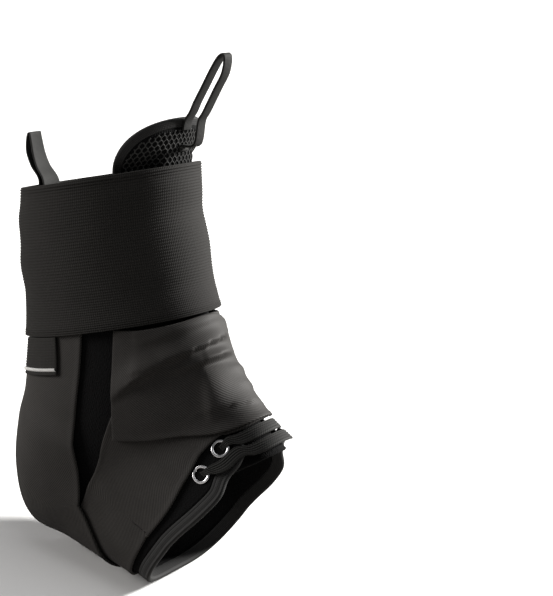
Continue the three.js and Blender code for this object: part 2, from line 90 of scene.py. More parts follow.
def between(values, place):
    """Smooth value of a list at places between its rows."""
    values = np.asarray(values, float)
    place = np.clip(place, 0, len(values) - 1)
    i = np.minimum(np.floor(place).astype(int), len(values) - 2)
    f = place - i
    ends = 2 * values[0] - values[1], 2 * values[-1] - values[-2]
    padded = np.concatenate([[ends[0]], values, [ends[1]]])
    a, b, c, d = (padded[i + k] for k in range(4))
    return 0.5 * (2 * b + (c - a) * f + (2 * a - 5 * b + 4 * c - d) * f**2
                  + (3 * b - a - 3 * c + d) * f**3)


def hollow(section, angle):
    """Points on the leg. Angle 0 is the front, 90 the outer side, 180 the back or sole."""
    section, angle = np.broadcast_arrays(np.asarray(section, float), np.asarray(angle, float))
    row = {name: between(column, section) for name, column in FORM.items()}
    cos, sin = np.cos(np.radians(angle)), np.sin(np.radians(angle))
    power = np.where(cos > 0, 2.0, row["square"])
    size = (np.abs(cos)**power + np.abs(sin)**power)**(-1 / power)
    end_y = np.where(cos > 0, row["front_y"], row["back_y"])
    end_z = np.where(cos > 0, row["front_z"], row["back_z"])
    mid_y = row["front_y"] + (row["back_y"] - row["front_y"]) * row["middle"]
    mid_z = row["front_z"] + (row["back_z"] - row["front_z"]) * row["middle"]
    reach = np.abs(cos) * size
    return np.stack([
        -sin * size * row["half"] * ANKLE_WIDTH,
        (mid_y + (end_y - mid_y) * reach) * HOLLOW_REACH,
        (mid_z + (end_z - mid_z) * reach) * HOLLOW_HEIGHT,
    ], axis=-1)


def unit(v):
    return v / np.linalg.norm(v, axis=-1, keepdims=True)


def dot(a, b):
    return (a * b).sum(axis=-1)


def along_section(section, angle, step=0.02):
    return (hollow(section + step, angle) - hollow(section - step, angle)) / (2 * step)


def along_angle(section, angle, step=1.0):
    return (hollow(section, angle + step) - hollow(section, angle - step)) / (2 * step)


def outward(section, angle):
    return unit(np.cross(along_angle(section, angle), along_section(section, angle)))


def lifted(section, angle, height):
    """Points at a height above the leg."""
    return hollow(section, angle) + outward(section, angle) * np.asarray(height)[..., None]


def walk(section, angle, heading, length, steps=12):
    """Places reached from others by going over the leg in a direction for a length."""
    section, angle, length = (np.array(x, float) for x in np.broadcast_arrays(section, angle, length))
    heading = np.broadcast_to(heading, section.shape + (3,)).copy()
    for _ in range(steps):
        u, v = along_section(section, angle), along_angle(section, angle)
        n = unit(np.cross(v, u))
        heading = unit(heading - n * dot(heading, n)[..., None])
        uu, uv, vv = dot(u, u), dot(u, v), dot(v, v)
        hu, hv = dot(heading, u), dot(heading, v)
        scale = length / steps / (uu * vv - uv * uv)
        section += (hu * vv - hv * uv) * scale
        angle += (hv * uu - hu * uv) * scale
    return section, angle


def down(section, angle, length):
    return walk(section, angle, along_section(section, angle), length)[0]


def girth(section, length):
    """The angle from the front that a length round the leg covers."""
    return walk(section, 0.0, along_angle(section, 0.0), length)[1]


def run_along(points):
    """The length from the first point of a line to each of its points."""
    return np.concatenate([[0], np.cumsum(np.linalg.norm(np.diff(points, axis=0), axis=1))])


def smooth_step(x, low, high):
    t = np.clip((x - low) / (high - low), 0, 1)
    return t * t * (3 - 2 * t)


top_front = hollow(1.15, 0)
print("front of the leg at the cuff:", np.round(top_front / MM, 1), "mm")

# %% [markdown]
# ## Camera, floor and light
# The photograph looks at the outer side of the ankle from slightly above, with a long
# lens and a small roll. The floor is a pale sheet just under the sole. The key light
# comes from beyond the toes on the far side, so the front of the brace is bright and its
# side is dim. A weak light from above and one from behind the heel fill the rest.

# %% Camera
IMAGE_SIZE = (553, 596)     # pixels
FOCAL_PIXELS = 1600
SENSOR = 36.0               # millimetres, along the picture's longer side
CAMERA_PLACE = (-0.631, -0.429, 0.374)
CAMERA_RIGHT = Vector((0.52109, -0.83636, 0.17016))
CAMERA_UP = Vector((0.16332, 0.29340, 0.94194))


def deselect():
    if bpy.context.object and bpy.context.object.mode != "OBJECT":
        bpy.ops.object.mode_set(mode="OBJECT")
    bpy.ops.object.select_all(action="DESELECT")


deselect()
bpy.ops.object.camera_add(location=CAMERA_PLACE)
camera = bpy.context.object
camera.name = "photo_camera"
turn = Matrix((CAMERA_RIGHT, CAMERA_UP, CAMERA_RIGHT.cross(CAMERA_UP))).transposed()
camera.rotation_euler = turn.to_euler()
camera.data.sensor_width = SENSOR
camera.data.lens = FOCAL_PIXELS / max(IMAGE_SIZE) * SENSOR
bpy.context.scene.camera = camera
print("lens:", round(camera.data.lens, 2), "mm")

# %% Floor and light
FLOOR_SIZE = 12.0
FLOOR_GAP = 0.5 * MM

deselect()
bpy.ops.mesh.primitive_plane_add(size=FLOOR_SIZE, location=(0, 0, cad_box[0][2] - FLOOR_GAP))
floor = bpy.context.object
floor.name = "floor"


def sun(name, direction, strength, spread, colour):
    """Light from far away, so that the floor stays even. spread is its angle in degrees."""
    deselect()
    place = Vector(direction).normalized() * 2
    bpy.ops.object.light_add(type="SUN", location=place)
    light = bpy.context.object
    light.name = name
    light.rotation_euler = (-place).to_track_quat("-Z", "Y").to_euler()
    light.data.energy = strength
    light.data.angle = math.radians(spread)
    light.data.color = colour
    print(name, "from", [round(x, 2) for x in place])
    return light


sun("key", (0.90, -0.42, 0.44), 11.0, 12, (1.0, 0.985, 0.96))
sun("overhead", (0.10, -0.30, 1.0), 0.8, 60, (1.0, 1.0, 1.0))
sun("rear_fill", (-0.50, 0.80, 0.22), 3.2, 30, (1.0, 0.97, 0.94))

bpy.context.scene.view_settings.view_transform = "Standard"
world = bpy.data.worlds.new("studio")
bpy.context.scene.world = world
world.use_nodes = True
WORLD_COLOUR = (0.93, 0.94, 0.95, 1)
world.node_tree.nodes["Background"].inputs["Color"].default_value = WORLD_COLOUR
world.node_tree.nodes["Background"].inputs["Strength"].default_value = 0.13

# %% [markdown]
# ## Shader groups
# All of the finishes are textiles, and textiles are threads in rows. One node group draws
# rows of threads in any direction over a piece's own UV map, which is in metres. A second
# one gives slow, soft changes of tone, from lint and handling. Each material places
# these groups with values of its own.

# %% Shader groups
def new_group(name, inputs, outputs):
    group = bpy.data.node_groups.new(name, "ShaderNodeTree")
    for label, kind, value in inputs:
        socket = group.interface.new_socket(label, in_out="INPUT", socket_type=kind)
        if value is not None:
            socket.default_value = value
    for label, kind in outputs:
        group.interface.new_socket(label, in_out="OUTPUT", socket_type=kind)
    return group, group.nodes.new("NodeGroupInput"), group.nodes.new("NodeGroupOutput")


def math_node(tree, operation, *values):
    """A Math node. Each value is a number or the output that feeds it."""
    node = tree.nodes.new("ShaderNodeMath")
    node.operation = operation
    for socket, value in zip(node.inputs, values):
        if isinstance(value, (int, float)):
            socket.default_value = value
        else:
            tree.links.new(value, socket)
    return node.outputs[0]


def thread_rows_group():
    """Rows of threads: 1 on the crown of a thread and 0 in the groove beside it."""
    group, given, result = new_group(
        "Thread Rows",
        [("Vector", "NodeSocketVector", None), ("Pitch", "NodeSocketFloat", 0.001),
         ("Turn", "NodeSocketFloat", 0.0)],
        [("Height", "NodeSocketFloat")],
    )
    split = group.nodes.new("ShaderNodeSeparateXYZ")
    group.links.new(given.outputs["Vector"], split.inputs[0])
    turn = math_node(group, "RADIANS", given.outputs["Turn"])
    part_x = math_node(group, "MULTIPLY", split.outputs["X"], math_node(group, "COSINE", turn))
    part_y = math_node(group, "MULTIPLY", split.outputs["Y"], math_node(group, "SINE", turn))
    distance = math_node(group, "ADD", part_x, part_y)
    phase = math_node(group, "DIVIDE", distance, given.outputs["Pitch"])
    wave = math_node(group, "SINE", math_node(group, "MULTIPLY", phase, 2 * math.pi))
    height = math_node(group, "MULTIPLY_ADD", wave, 0.5, 0.5)
    group.links.new(height, result.inputs["Height"])
    return group


def soft_tone_group():
    """Slow changes of tone, and fine lint over them, both from 0 to 1."""
    group, given, result = new_group(
        "Soft Tone",
        [("Vector", "NodeSocketVector", None), ("Size", "NodeSocketFloat", 0.02),
         ("Lint Size", "NodeSocketFloat", 0.001)],
        [("Tone", "NodeSocketFloat"), ("Lint", "NodeSocketFloat")],
    )
    for label, size, detail in (("Tone", "Size", 3), ("Lint", "Lint Size", 2)):
        noise = group.nodes.new("ShaderNodeTexNoise")
        noise.inputs["Detail"].default_value = detail
        scale = math_node(group, "DIVIDE", 1.0, given.outputs[size])
        group.links.new(given.outputs["Vector"], noise.inputs["Vector"])
        group.links.new(scale, noise.inputs["Scale"])
        group.links.new(noise.outputs["Fac"], result.inputs[label])
    return group


THREAD_ROWS = thread_rows_group()
SOFT_TONE = soft_tone_group()
print("shader groups:", THREAD_ROWS.name, "and", SOFT_TONE.name)

# %% [markdown]
# ## Finishes
# Black cloth is never quite black. Its crowns catch light and its grooves don't, so each
# finish mixes a dark colour and a lighter one by the height of its threads, and the same
# height drives the bump. The layers of a finish are rows of threads: one set of rows
# makes ribs, two that cross make a plain weave, and slanted ones make twill.

# %% Finishes
def place_group(tree, group, vector, **values):
    node = tree.nodes.new("ShaderNodeGroup")
    node.node_tree = group
    tree.links.new(vector, node.inputs["Vector"])
    for label, value in values.items():
        node.inputs[label.replace("_", " ")].default_value = value
    return node


def textile(name, dark, light, rows, depth, roughness, sheen, lint=0.25, tone=0.3, lint_size=0.0008):
    """A black cloth. rows lists (pitch, turn, share) of the threads that it is made of."""
    material = bpy.data.materials.new(name)
    material.use_nodes = True
    tree = material.node_tree
    shader = tree.nodes["Principled BSDF"]
    places = tree.nodes.new("ShaderNodeTexCoord")
    soft = place_group(tree, SOFT_TONE, places.outputs["Object"], Size=0.018, Lint_Size=lint_size)
    height = math_node(tree, "MULTIPLY", soft.outputs["Lint"], lint)
    for pitch, angle, share in rows:
        threads = place_group(tree, THREAD_ROWS, places.outputs["UV"], Pitch=pitch, Turn=angle)
        height = math_node(tree, "MULTIPLY_ADD", threads.outputs["Height"], share, height)
    toned = math_node(tree, "MULTIPLY_ADD", soft.outputs["Tone"], tone, height)
    mix = tree.nodes.new("ShaderNodeMix")
    mix.data_type = "RGBA"
    mix.inputs["A"].default_value = (*dark, 1)
    mix.inputs["B"].default_value = (*light, 1)
    tree.links.new(toned, mix.inputs["Factor"])
    tree.links.new(mix.outputs["Result"], shader.inputs["Base Color"])
    rough = math_node(tree, "MULTIPLY_ADD", soft.outputs["Tone"], 0.15, roughness - 0.07)
    tree.links.new(rough, shader.inputs["Roughness"])
    bump = tree.nodes.new("ShaderNodeBump")
    bump.inputs["Distance"].default_value = depth
    bump.inputs["Strength"].default_value = 1.0
    tree.links.new(height, bump.inputs["Height"])
    tree.links.new(bump.outputs["Normal"], shader.inputs["Normal"])
    shader.inputs["Specular IOR Level"].default_value = 0.08
    shader.inputs["Sheen Weight"].default_value = sheen
    shader.inputs["Sheen Roughness"].default_value = 0.5
    return material


ELASTIC = textile("ribbed_elastic", (0.004, 0.004, 0.0038), (0.034, 0.0325, 0.031),
                  [(0.00095, 0, 0.35), (0.0014, 90, 0.25)], 0.00018, 0.82, 0.0)
NYLON = textile("nylon_twill", (0.006, 0.0056, 0.0053), (0.044, 0.0415, 0.0395),
                [(0.00085, 45, 0.55)], 0.00010, 0.62, 0.01)
KNIT = textile("loop_pile", (0.0006, 0.0006, 0.0007), (0.006, 0.006, 0.0063),
               [(0.0012, 0, 0.15)], 0.0005, 0.95, 0.0, lint=0.9, tone=0.1)
TAPE = textile("edge_tape", (0.006, 0.006, 0.0062), (0.034, 0.034, 0.034),
               [(0.0008, 0, 0.3), (0.0009, 90, 0.35)], 0.00014, 0.70, 0.02)
WEBBING = textile("woven_ribbon", (0.004, 0.004, 0.004), (0.026, 0.026, 0.025),
                  [(0.0006, 0, 0.35), (0.0011, 90, 0.35)], 0.00014, 0.68, 0.02)
LACE = textile("flat_lace", (0.003, 0.003, 0.003), (0.026, 0.026, 0.025),
               [(0.0011, 90, 0.55), (0.0009, 30, 0.2)], 0.0002, 0.72, 0.02)
NET = textile("spacer_net", (0.010, 0.010, 0.010), (0.070, 0.070, 0.068),
              [(0.0005, 0, 0.3)], 0.0001, 0.75, 0.03)
WHITE_THREAD = textile("white_thread", (0.55, 0.55, 0.54), (0.85, 0.85, 0.84),
                       [(0.0004, 0, 0.5)], 0.00008, 0.6, 0.0)
BLACK_THREAD = textile("black_thread", (0.02, 0.02, 0.02), (0.09, 0.09, 0.09),
                       [(0.0004, 0, 0.5)], 0.00008, 0.5, 0.03)


def metal_finish():
    """Nickel plate with fine scratches."""
    material = bpy.data.materials.new("nickel_plate")
    material.use_nodes = True
    tree = material.node_tree
    shader = tree.nodes["Principled BSDF"]
    places = tree.nodes.new("ShaderNodeTexCoord")
    soft = place_group(tree, SOFT_TONE, places.outputs["Object"], Size=0.002, Lint_Size=0.0003)
    rough = math_node(tree, "MULTIPLY_ADD", soft.outputs["Tone"], 0.25, 0.14)
    tree.links.new(rough, shader.inputs["Roughness"])
    shader.inputs["Metallic"].default_value = 1.0
    shader.inputs["Base Color"].default_value = (0.83, 0.83, 0.85, 1)
    bump = tree.nodes.new("ShaderNodeBump")
    bump.inputs["Distance"].default_value = 0.00002
    tree.links.new(soft.outputs["Lint"], bump.inputs["Height"])
    tree.links.new(bump.outputs["Normal"], shader.inputs["Normal"])
    return material


def floor_finish():
    material = bpy.data.materials.new("pale_floor")
    material.use_nodes = True
    tree = material.node_tree
    shader = tree.nodes["Principled BSDF"]
    places = tree.nodes.new("ShaderNodeTexCoord")
    soft = place_group(tree, SOFT_TONE, places.outputs["Object"], Size=0.5, Lint_Size=0.01)
    rough = math_node(tree, "MULTIPLY_ADD", soft.outputs["Tone"], 0.1, 0.75)
    tree.links.new(rough, shader.inputs["Roughness"])
    # Only the camera sees the floor as pale. For other rays it is dark, as a studio is
    # beyond the paper, so that it doesn't wash out the black cloth from below.
    rays = tree.nodes.new("ShaderNodeLightPath")
    mix = tree.nodes.new("ShaderNodeMix")
    mix.data_type = "RGBA"
    mix.inputs["A"].default_value = (0.24, 0.23, 0.22, 1)
    mix.inputs["B"].default_value = (0.85, 0.85, 0.85, 1)
    tree.links.new(rays.outputs["Is Camera Ray"], mix.inputs["Factor"])
    tree.links.new(mix.outputs["Result"], shader.inputs["Base Color"])
    return material


METAL = metal_finish()
floor.data.materials.append(floor_finish())
print("finishes:", len(bpy.data.materials))

# %% [markdown]
# ## Laying cloth over the leg
# A band of cloth starts as a flat grid, as it does on a cutting table. The grid is folded
# double, so that one half becomes the outer face and the other half the inner one, and
# then it is laid over the leg at its height. Both faces meet at the edges in a small
# round, so once the doubles are merged the band is one closed pillow with soft edges.

# %% Laying cloth
def edge_shares(count, reach, edge):
    """Shares from 0 to 1 along a length, with extra ones close to both ends."""
    near = np.array([0, 0.08, 0.3, 0.65, 1.0]) * edge / reach
    inner = np.linspace(near[-1], 1 - near[-1], count)
    return np.concatenate([near[:-1], inner, 1 - near[:-1][::-1]])


def rounding(distance, radius):
    """How full a wall is, from 0 at an edge to 1 at one radius from it."""
    inside = np.clip(1 - distance / radius, 0, 1)
    return np.sqrt(1 - inside**2)


def uv_map(along, across):
    return np.stack(np.broadcast_arrays(along, across), axis=-1)


def round_ends(run, length, wall):
    """How full a wall is along a length, with a soft edge at both ends."""
    return rounding(np.minimum(run, length - run), wall / 2)


def grid_of_cloth(name, rows, columns):
    """A flat grid, and the row and the column of each of its points."""
    deselect()
    bpy.ops.mesh.primitive_grid_add(x_subdivisions=rows - 1, y_subdivisions=columns - 1, size=1)
    piece = bpy.context.object
    piece.name = name
    flat = np.empty(len(piece.data.vertices) * 3)
    piece.data.vertices.foreach_get("co", flat)
    flat = flat.reshape(-1, 3) + 0.5
    i, j = (np.rint(flat[:, k] * (count - 1)).astype(int) for k, count in enumerate((rows, columns)))
    return piece, i, j


def set_cloth(piece, points, uv):
    """Moves the grid's points to their places, and writes a UV map in metres."""
    piece.data.vertices.foreach_set("co", points.ravel())
    corners = np.empty(len(piece.data.loops), int)
    piece.data.loops.foreach_get("vertex_index", corners)
    piece.data.uv_layers[0].data.foreach_set("uv", uv[corners].ravel())
    piece.data.update()


def merge_and_smooth(piece, merge=0.004 * MM, close_holes=0):
    """Merges doubles and closes holes of up to a number of sides, so the piece is solid."""
    deselect()
    piece.select_set(True)
    bpy.context.view_layer.objects.active = piece
    bpy.ops.object.mode_set(mode="EDIT")
    bpy.ops.mesh.select_all(action="SELECT")
    bpy.ops.mesh.remove_doubles(threshold=merge)
    if close_holes:
        bpy.ops.mesh.fill_holes(sides=close_holes)
    bpy.ops.mesh.normals_make_consistent(inside=False)
    bpy.ops.object.mode_set(mode="OBJECT")
    bpy.ops.object.shade_smooth()
    return piece


def finish_piece(piece, material, slot, *nodes):
    piece.data.materials.clear()
    piece.data.materials.append(material)
    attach(piece, "root")
    if nodes:
        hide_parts(*nodes)
    print(piece.name, len(piece.data.polygons), "faces")
    return piece


def lay_band(name, section, angle, inside, wall, uv):
    """A closed band. The arrays hold its rows and, in each, the places across it."""
    rows, across = section.shape
    ring = np.concatenate([np.arange(across), np.arange(across - 2, -1, -1)])
    outer = np.concatenate([np.ones(across), np.zeros(across - 1)])
    points = lifted(section[:, ring], angle[:, ring], inside[:, ring] + wall[:, ring] * outer)
    piece, i, j = grid_of_cloth(name, rows, len(ring))
    set_cloth(piece, points[i, j], uv[:, ring][i, j])
    return merge_and_smooth(piece)


def lay_ribbon(name, path, width, thickness, bow, pinch=0.0, rows=90, across=9):
    """A closed ribbon along a smooth path of (y, z) points in the middle plane.

    bow is the radius that its sides curve round, and pinch the share of its width that
    it loses at the fold in its middle.
    """
    path = np.array(path)
    fine = np.stack([between(path[:, k], np.linspace(0, len(path) - 1, 900)) for k in (0, 1)], axis=1)
    run = run_along(fine)
    s = edge_shares(rows, run[-1], thickness / 2) * run[-1]
    centre = np.stack([np.interp(s, run, fine[:, k]) for k in (0, 1)], axis=1)
    ahead = np.stack([np.interp(s + 0.3 * MM, run, fine[:, k]) for k in (0, 1)], axis=1)
    behind = np.stack([np.interp(s - 0.3 * MM, run, fine[:, k]) for k in (0, 1)], axis=1)
    tangent = unit(ahead - behind)
    normal = np.stack([-tangent[:, 1], tangent[:, 0]], axis=1)
    x = (edge_shares(across, width, thickness / 2) - 0.5) * width
    full = round_ends(s, run[-1], thickness)[:, None]
    full = full * rounding(width / 2 - np.abs(x), thickness / 2)[None, :]
    ring = np.concatenate([np.arange(len(x)), np.arange(len(x) - 2, -1, -1)])
    side = np.concatenate([np.ones(len(x)), -np.ones(len(x) - 1)])
    shift = full[:, ring] * side * thickness / 2
    narrowed = 1 - pinch * np.sin(np.pi * s / run[-1])**2
    spread = narrowed[:, None] * x[ring]
    points = np.empty((len(s), len(ring), 3))
    points[..., 0] = spread
    points[..., 1] = centre[:, None, 0] + normal[:, None, 0] * shift - spread**2 / (2 * bow)
    points[..., 2] = centre[:, None, 1] + normal[:, None, 1] * shift
    uv = np.empty((len(s), len(ring), 2))
    uv[..., 0] = s[:, None]
    uv[..., 1] = x[ring]
    piece, i, j = grid_of_cloth(name, len(s), len(ring))
    set_cloth(piece, points[i, j], uv[i, j])
    print(name, "is", round(run[-1] / MM), "mm long")
    return merge_and_smooth(piece)


# %% [markdown]
# ## Walls and layers
# The heights of the layers above the leg, from the inside out: the tongue, the shell of
# the boot, the first strap, the second strap where it crosses the first, and the cuff.

# %% Walls and layers
BOOT_WALL = 2.2 * MM
TONGUE_WALL = 2.0 * MM
STRAP_WALL = 1.2 * MM
CUFF_WALL = 1.6 * MM
TAPE_WALL = 2.6 * MM
LAYER_GAP = 0.65 * MM
TONGUE_OUTSIDE = -0.8 * MM
STRAP_INSIDE = BOOT_WALL + LAYER_GAP
STRAP_STEP = STRAP_WALL + LAYER_GAP
CUFF_INSIDE = STRAP_INSIDE + STRAP_STEP
CUFF_HEIGHT = 76 * MM
STRAP_WIDTH = 47 * MM
CUFF_TOP = 1.15

# %% [markdown]
# ## The cuff
# A wide ribbed elastic closes the top of the brace. Its ribs run round the leg, and the
# tension pulls the band into shallow waves. The ribs are real relief here: a cosine over
# the height of the band, a little deeper in the hems.

# %% Cuff
RIB_PITCH = 1.4 * MM
RIB_DEPTH = 0.16 * MM
RIB_SAMPLES = 5
CUFF_UV_LENGTH = 260 * MM
HEM_SHARE = 0.06            # each hem, of the height
HEM_RIBS = 0.8              # how much deeper the ribs are there
WAVES = [                   # drop, angle, height in millimetres, and the reach of both
    [0.20, 180, 1.5, 0.07, 40],
    [0.36, 185, -0.9, 0.06, 40],
    [0.50, 178, 1.0, 0.08, 45],
    [0.66, 182, -0.6, 0.06, 45],
    [0.12, 20, 0.8, 0.10, 35],
    [0.30, -25, -0.8, 0.08, 40],
    [0.52, -30, 0.7, 0.10, 40],
    [0.75, 15, -0.7, 0.08, 40],
]


def make_cuff():
    columns = 200
    ribs = round(CUFF_HEIGHT / RIB_PITCH)
    angle = np.linspace(0, 360, columns + 1)
    drop = edge_shares(ribs * RIB_SAMPLES + 1, CUFF_HEIGHT, CUFF_WALL / 2) * CUFF_HEIGHT
    low = down(np.full_like(angle, CUFF_TOP), angle, CUFF_HEIGHT)
    share = drop / CUFF_HEIGHT
    section = CUFF_TOP + (low[:, None] - CUFF_TOP) * share[None, :]
    angles = np.repeat(angle[:, None], len(drop), axis=1)
    waves = 0
    for where, turned, height, tall, wide in WAVES:
        swing = (angles - turned + 180) % 360 - 180
        waves = waves + height * MM * np.exp(-((share - where) / tall)**2 - (swing / wide)**2)
    hem = smooth_step(share, 1 - HEM_SHARE, 0.955) + smooth_step(-share, -HEM_SHARE, -0.045)
    hem = 1 + HEM_RIBS * hem
    ribs_height = RIB_DEPTH * hem * np.cos(2 * np.pi * drop / RIB_PITCH)
    full = round_ends(drop, CUFF_HEIGHT, CUFF_WALL)
    wall = np.broadcast_to(CUFF_WALL * full + ribs_height * full, angles.shape)
    inside = CUFF_INSIDE + waves + CUFF_WALL * (1 - full) / 2
    run = angle / 360 * CUFF_UV_LENGTH
    uv = uv_map(run[:, None], drop[None, :])
    cuff = lay_band("cuff_elastic", section, angles, inside, wall, uv)
    return finish_piece(cuff, ELASTIC, "elastic", "cuff")


cuff = make_cuff()

# %% [markdown]
# ## The straps
# Two nylon straps are sewn to the sides, cross over the front of the ankle, pass under
# the arch and come up the other side to end beneath the cuff. Both follow one route,
# and the second strap is its mirror image. Where the outer strap bends over the front it
# bunches up, so a short table lists its folds.

# %% Strap route
STRAP_COLUMNS = ("section", "angle", "width", "over_low", "over_top")
STRAP_ROUTE = dict(zip(STRAP_COLUMNS, np.array([
    [4.72, 68, 1.13, 1, 0],
    [4.83, 61, 1.12, 1, 0.5],
    [4.97, 52, 1.11, 1, 1],
    [5.17, 34, 1.13, 1, 1],
    [5.44, 12, 1.26, 1, 1],
    [5.62, -10, 1.24, 1, 1],
    [5.82, -31, 1.11, 1, 1],
    [6.42, -49, 1.03, 1, 1],
    [7.13, -61, 1.02, 1, 1],
    [7.80, -75, 0.98, 1, 1],
    [8.28, -93, 0.88, 1, 1],
    [8.62, -118, 0.84, 1, 1],
    [8.78, -145, 0.84, 1, 1],
    [8.66, -180, 0.84, 1, 1],
    [8.36, -211, 0.86, 1, 1],
    [7.92, -226, 0.88, 1, 1],
    [7.22, -239, 0.92, 1, 1],
    [6.60, -245.5, 0.96, 1, 1],
    [5.95, -246, 1.00, 1, 1],
    [5.30, -243.5, 1.00, 0.9, 0.9],
    [4.75, -243.5, 1.00, 0, 0],
    [4.10, -244.5, 1.00, 0, 0],
    [3.40, -246, 1.00, 0, 0],
    [2.60, -248, 1.00, 0, 0],
]).T))
STRAP_STEPS = len(STRAP_ROUTE["section"]) - 1


def route_row(step):
    return {name: between(column, step) for name, column in STRAP_ROUTE.items()}


def beside_route(step, offset):
    """Places off the middle of the route. A positive offset is towards the leg."""
    row = route_row(step)
    back, ahead = route_row(np.maximum(step - 0.05, 0)), route_row(np.minimum(step + 0.05, STRAP_STEPS))
    path = hollow(ahead["section"], ahead["angle"]) - hollow(back["section"], back["angle"])
    across = np.cross(outward(row["section"], row["angle"]), path)
    sign = np.where(offset < 0, -1.0, 1.0)
    return walk(row["section"], row["angle"], across * sign[..., None], np.abs(offset))


# %% Strap folds
# The section and the angle where a fold starts, the same where it ends, its height in
# walls, and how far its soft side and its steep side reach, in widths of the strap.
FOLDS = [
    [4.51, 50, 4.20, -16, 4.2, 0.13, 0.035],
    [4.82, 36, 4.83, -14, 3.4, 0.10, 0.035],
    [5.07, 70, 4.48, 40, 3.2, 0.18, 0.030],
    [5.05, 17, 7.20, 28, 2.6, 0.20, 0.055],
    [3.85, 50, 3.74, -10, 1.5, 0.07, 0.040],
    [6.55, 36, 7.50, -20, 0.9, 0.14, 0.030],
    [5.55, 2, 5.75, -34, 0.8, 0.06, 0.040],
    [6.20, 4, 6.50, -30, 0.6, 0.06, 0.040],
]


def fold_height(section, angle):
    """The height of the folds. Each is soft on one side and steep on the other."""
    points, normal = hollow(section, angle), outward(section, angle)
    height = np.zeros(points.shape[:-1])
    for from_section, from_angle, to_section, to_angle, tall, soft, steep in FOLDS:
        start, end = hollow(from_section, from_angle), hollow(to_section, to_angle)
        line = end - start
        share = np.clip(dot(points - start, line) / dot(line, line), 0, 1)
        crest = hollow(from_section + (to_section - from_section) * share,
                       from_angle + (to_angle - from_angle) * share)
        gap = points - crest
        side = dot(np.cross(np.broadcast_to(line, gap.shape), gap), normal)
        away = np.linalg.norm(gap, axis=-1) / (np.where(side > 0, soft, steep) * STRAP_WIDTH)
        height += tall * STRAP_WALL * np.exp(-away**2) * np.sin(np.pi * (share * 0.9 + 0.05))
    return height


# %% Straps
HEM_RISE = 0.22 * MM
HEM_WIDTH = 2.6 * MM


def make_strap(name, node, side, climbs):
    """A strap on one side. The one that climbs over the other also has the folds."""
    rows, across = 360, 44
    fine = np.linspace(0, STRAP_STEPS, 1200)
    row = route_row(fine)
    centre = hollow(row["section"], row["angle"])
    run = run_along(centre)
    s = edge_shares(rows, run[-1], STRAP_WALL / 2) * run[-1]
    step = np.interp(s, run, fine)[:, None]
    a = edge_shares(across, STRAP_WIDTH, STRAP_WALL / 2)[None, :]
    row = route_row(step)
    width = STRAP_WIDTH * row["width"]
    offset = (a - 0.5) * width
    section, angle = beside_route(np.broadcast_to(step, offset.shape), offset)
    over = wrinkle = np.zeros(offset.shape)
    if climbs:
        over = np.clip(row["over_low"] + (row["over_top"] - row["over_low"]) * a, 0, 1)
        wrinkle = fold_height(section, angle) * over
    edge = width / 2 - np.abs(offset)
    full = rounding(edge, STRAP_WALL / 2) * round_ends(s, run[-1], STRAP_WALL)[:, None]
    hem = HEM_RISE * (1 - smooth_step(edge, HEM_WIDTH - 0.6 * MM, HEM_WIDTH))
    inside = STRAP_INSIDE + STRAP_STEP * over + wrinkle + STRAP_WALL * (1 - full) / 2
    wall = (STRAP_WALL + hem) * full
    uv = uv_map(s[:, None], offset)
    strap = lay_band(name, section, angle * side, inside, wall, uv)
    finish_piece(strap, NYLON, "nylon", node)
    return strap, run[-1]


inner_strap, strap_length = make_strap("inner_strap", "strap_inner", -1, False)
outer_strap, _ = make_strap("outer_strap", "strap_outer", 1, True)
print("each strap is", round(strap_length / MM), "mm long")

# %% [markdown]
# ## The boot
# The shell of the brace is a soft laminate with a black loop pile outside. It wraps the
# ankle from one lacing edge round the back to the other, and leaves the heel bare. It is
# laid as a single sheet, the heel opening is cut out of it, and a Solidify modifier gives
# the sheet its wall.

# %% Rim of the boot
TAPE_WIDTH = 7 * MM
SEAM = 0.3 * MM
RIM_STRIP = 18 * MM
BOOT_TOP = 1.35
LACING_ANGLE = 30


def below_strap(step, gap):
    """A place on the inner side, clear of the straps' lower edge by a gap."""
    step = np.asarray(step, float)
    width = STRAP_WIDTH * route_row(step)["width"]
    return beside_route(step, -(width / 2 + gap))


def rim_table():
    """Rows of (section, angle). The first ones keep their share of a strip below the strap."""
    rows = []
    for step, share in [(5.30, 0.48), (6.62, 0.95), (7.55, 0.98)]:
        section, angle = below_strap(step, RIM_STRIP * share)
        rows.append((float(section), -float(angle)))
    rows += [(9.52, 54), (9.62, 68), (9.64, 86), (9.72, 108), (9.80, 140), (9.80, 180)]
    return np.array(rows)


RIM = rim_table()


def rim_at(v, inset):
    """Places along the rim, moved in from it. v runs from the outer side to the inner one."""
    v, inset = np.broadcast_arrays(np.asarray(v, float), np.asarray(inset, float))
    steps = len(RIM) - 1
    half = np.where(v <= 0.5, v * 2, (1 - v) * 2) * steps
    at = [between(RIM[:, k], half) for k in (0, 1)]
    back = [between(RIM[:, k], np.maximum(half - 0.05, 0)) for k in (0, 1)]
    ahead = [between(RIM[:, k], np.minimum(half + 0.05, steps)) for k in (0, 1)]
    inward = -np.cross(outward(*at), hollow(*ahead) - hollow(*back))
    section, angle = walk(at[0], at[1], inward, inset)
    return section, np.where(v <= 0.5, angle, 360 - angle)


# %% Boot
HEEL_SECTION, HEEL_REACH, HEEL_ANGLE, HEEL_SPREAD = 6.55, 1.15, 180, 60
HEEL_CUT, HEEL_EDGE = 0.93, 1.05        # the distances between which points slide onto the edge


def heel_distance(section, angle):
    """Below 1 inside the oval opening of the heel, and 1 on its edge."""
    across = (angle - HEEL_ANGLE) / HEEL_SPREAD
    along = (section - HEEL_SECTION) / HEEL_REACH
    return np.sqrt(across**2 + along**2)


